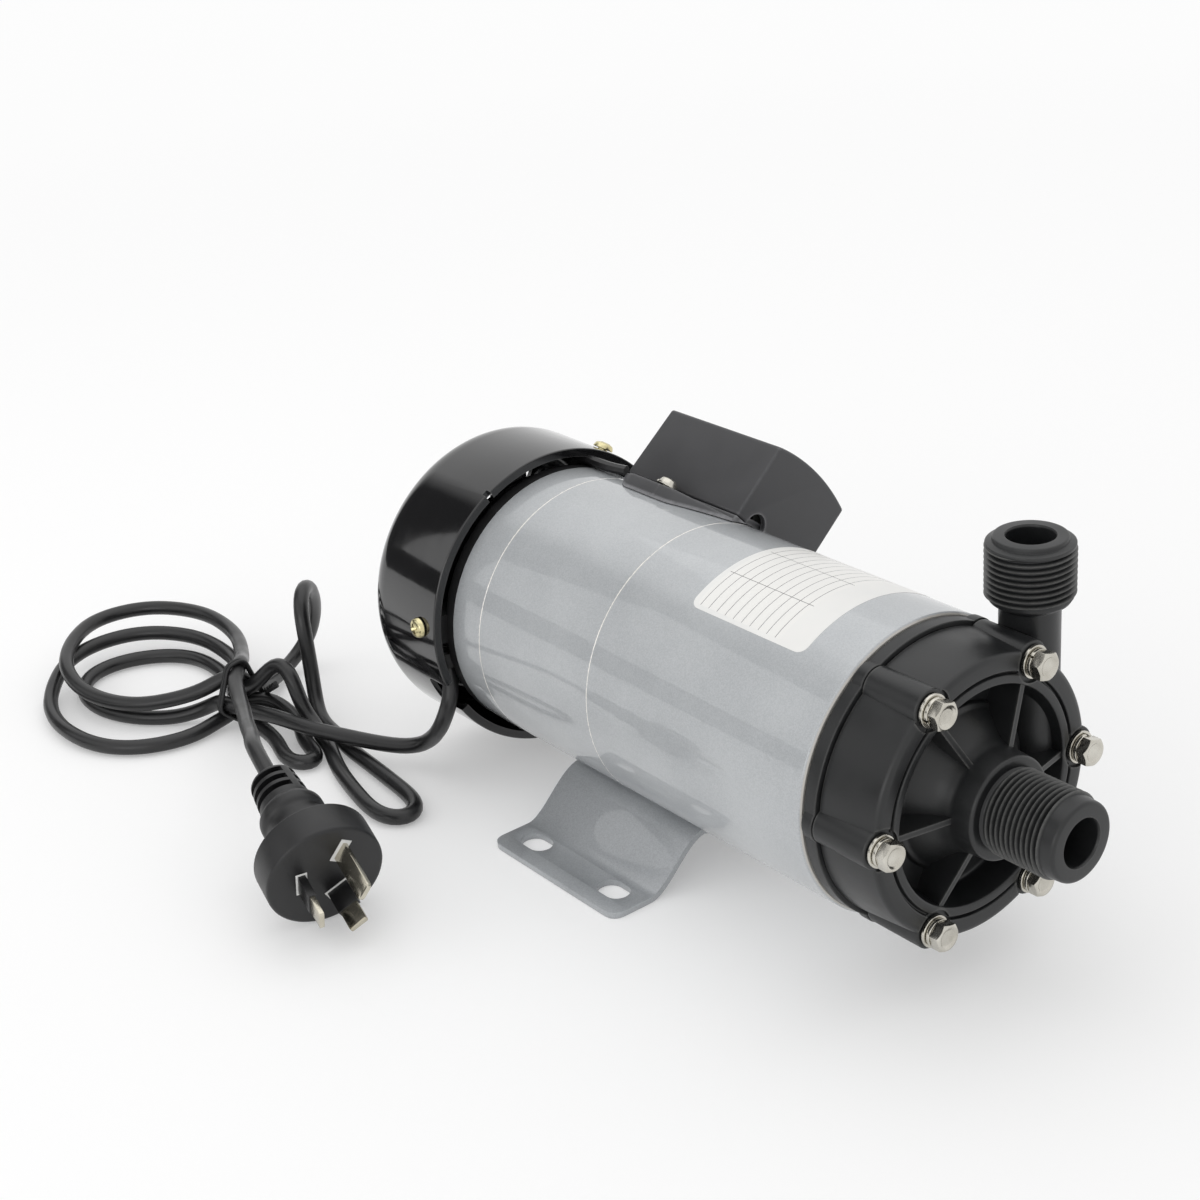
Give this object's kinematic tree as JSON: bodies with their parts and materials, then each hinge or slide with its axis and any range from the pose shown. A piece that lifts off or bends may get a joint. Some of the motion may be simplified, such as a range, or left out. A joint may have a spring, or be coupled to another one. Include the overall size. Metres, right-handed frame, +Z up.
{
  "type": "magnetic drive pump",
  "caption": "Magnetic drive centrifugal pump with a round mains motor, threaded inlet and outlet, foot, terminal box, tied cord and plug.",
  "frame": {"origin": "bottom centre of the pump's bounding box without its cord, on the surface that the foot stands on", "axes": "+X along the pump axis towards the inlet, +Z up, +Y to the side where the outlet and the terminal box are"},
  "size_m": [0.4299, 0.2102, 0.1245],
  "materials": {
    "silver_paint": "satin silver-grey metallic paint",
    "foot_paint": "satin grey metallic paint",
    "pump_plastic": "satin black moulded plastic",
    "box_plastic": "matte charcoal plastic",
    "cover_paint": "gloss black paint",
    "stainless": "bright stainless steel",
    "yellow_zinc": "yellow zinc plating",
    "cast_aluminium": "as cast",
    "shaft_steel": "ground steel",
    "core_steel": "laminated steel",
    "copper_winding": "lacquered copper wire",
    "ferrite": "dull magnet ferrite",
    "ceramic": "smooth ceramic",
    "carbon": "carbon-filled bushing",
    "rubber": "matte rubber",
    "fan_plastic": "matte black plastic",
    "cord_pvc": "satin black cord jacket",
    "plug_pvc": "satin black moulded plug",
    "pin_nickel": "nickel-plated brass",
    "capacitor_case": "pale plastic can"
  },
  "bodies": {
    "pump": {"motor_tube": "silver_paint", "stator_core": "core_steel", "winding_front": "copper_winding", "winding_rear": "copper_winding", "front_end_plate": "cast_aluminium", "front_bearing": "shaft_steel", "rear_end_plate": "cast_aluminium", "rear_bearing": "shaft_steel", "earth_screw": "stainless", "fan_cover": "cover_paint", "cover_screw_1": "yellow_zinc", "cover_screw_2": "yellow_zinc", "cover_screw_3": "yellow_zinc", "mounting_foot": "foot_paint", "terminal_box": "box_plastic", "box_base": "box_plastic", "box_screw_1": "stainless", "box_screw_2": "stainless", "capacitor": "capacitor_case", "box_lead": "cord_pvc", "front_casing": "pump_plastic", "motor_bracket": "pump_plastic", "rear_casing": "pump_plastic", "casing_o_ring": "rubber", "pump_spindle": "ceramic", "rear_thrust_ring": "ceramic", "front_thrust_ring": "ceramic", "casing_bolt_1": "stainless", "casing_bolt_2": "stainless", "casing_bolt_3": "stainless", "casing_bolt_4": "stainless", "casing_bolt_5": "stainless", "casing_bolt_6": "stainless", "casing_washer_1": "stainless", "casing_washer_2": "stainless", "casing_washer_3": "stainless", "casing_washer_4": "stainless", "casing_washer_5": "stainless", "casing_washer_6": "stainless", "cord_clamp": "rubber", "cord_lead": "cord_pvc", "plug_lead": "cord_pvc", "cord_hank": "cord_pvc", "cord_tie": "rubber", "plug_body": "plug_pvc", "plug_pin_earth": "pin_nickel", "plug_pin_line": "pin_nickel", "plug_pin_neutral": "pin_nickel"},
    "motor_rotor": {"motor_shaft": "shaft_steel", "rotor_core": "core_steel", "cooling_fan": "fan_plastic", "drive_cup": "shaft_steel", "drive_magnet": "ferrite"},
    "impeller": {"impeller": "pump_plastic", "inner_magnet": "ferrite", "impeller_bushing": "carbon"}
  },
  "joints": [
    {"name": "motor_spin", "type": "hinge", "parent": "pump", "child": "motor_rotor", "pos_m": [-0.00805, -0.00234, 0.0586], "axis": [1, 0, 0], "continuous": true},
    {"name": "impeller_spin", "type": "hinge", "parent": "pump", "child": "impeller", "pos_m": [0.07195, -0.00234, 0.0586], "axis": [1, 0, 0], "continuous": true}
  ],
  "couplings": [
    {"joint": "impeller_spin", "follows": "motor_spin", "ratio": 1}
  ]
}
